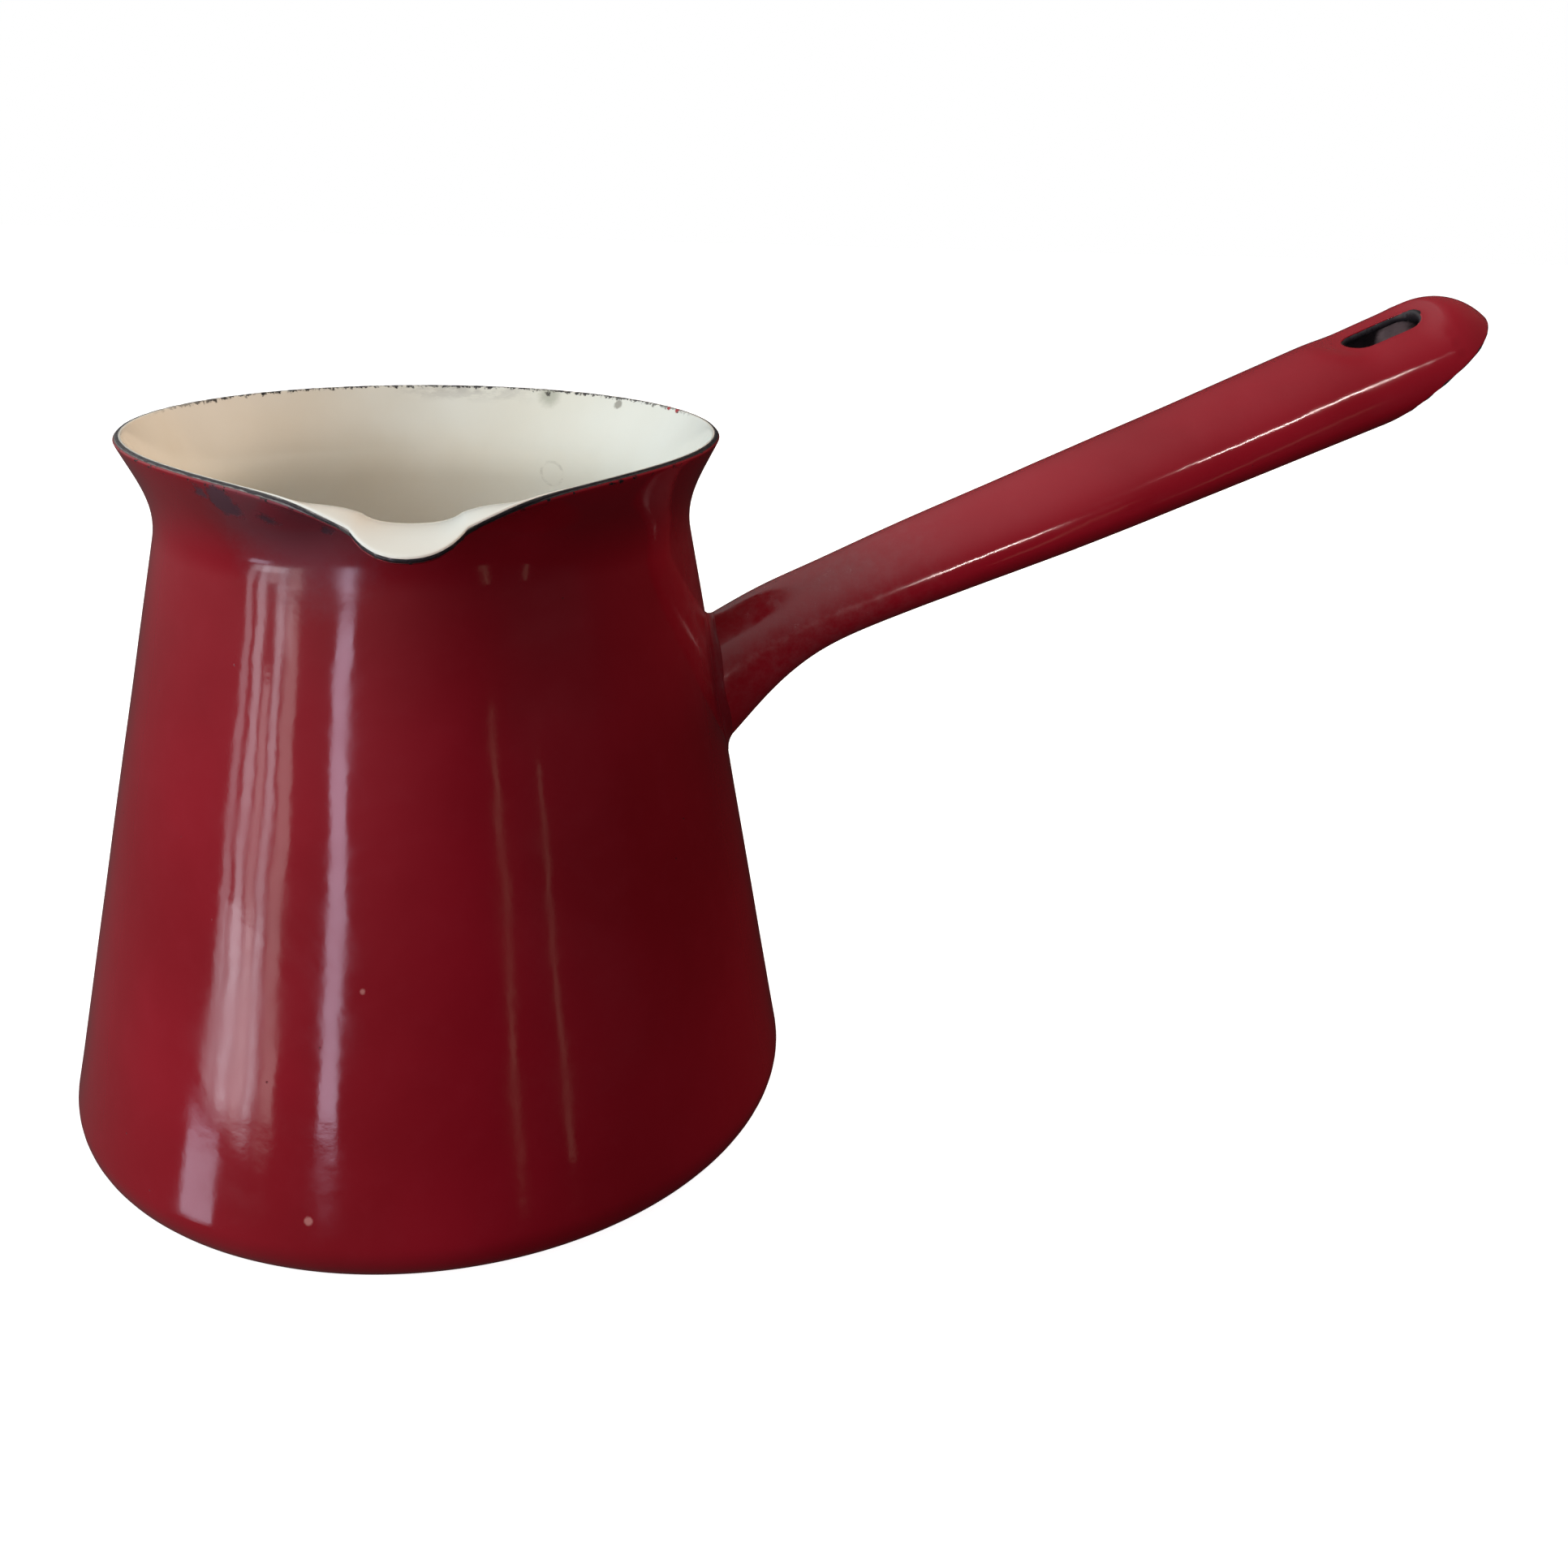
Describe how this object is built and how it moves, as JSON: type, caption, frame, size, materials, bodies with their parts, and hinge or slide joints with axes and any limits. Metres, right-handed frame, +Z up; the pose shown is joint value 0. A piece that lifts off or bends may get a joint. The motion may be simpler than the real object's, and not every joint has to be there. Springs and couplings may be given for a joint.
{
  "type": "coffee pot",
  "caption": "Enamelled steel coffee pot with a tapered body, a flared rim pulled into a pouring lip, and a hollow side handle with a hanging eye.",
  "frame": {"origin": "centre of the flat base, on the surface the pot stands on", "axes": "+Z up along the pot's axis, +X along the handle, -Y towards the pouring lip"},
  "size_m": [0.1995, 0.0988, 0.1146],
  "materials": {
    "bare_steel": "drawn mild steel sheet, hidden under enamel",
    "weld_metal": "weld bead under glossy red enamel",
    "red_enamel": "deep glossy red vitreous enamel, lightly worn",
    "white_enamel": "glossy white vitreous enamel with faint stains",
    "dark_enamel": "thin dark ground enamel, chipped along the rim"
  },
  "bodies": {
    "root": {"pot_shell": "bare_steel", "pot_red_enamel": "red_enamel", "pot_white_lining": "white_enamel", "rim_edge_enamel": "dark_enamel", "handle_shell": "bare_steel", "handle_seam_weld": "weld_metal", "handle_root_weld": "weld_metal", "handle_red_enamel": "red_enamel", "handle_ground_coat": "dark_enamel", "eye_edge_enamel": "dark_enamel", "handle_end_edge_enamel": "dark_enamel"}
  },
  "joints": []
}
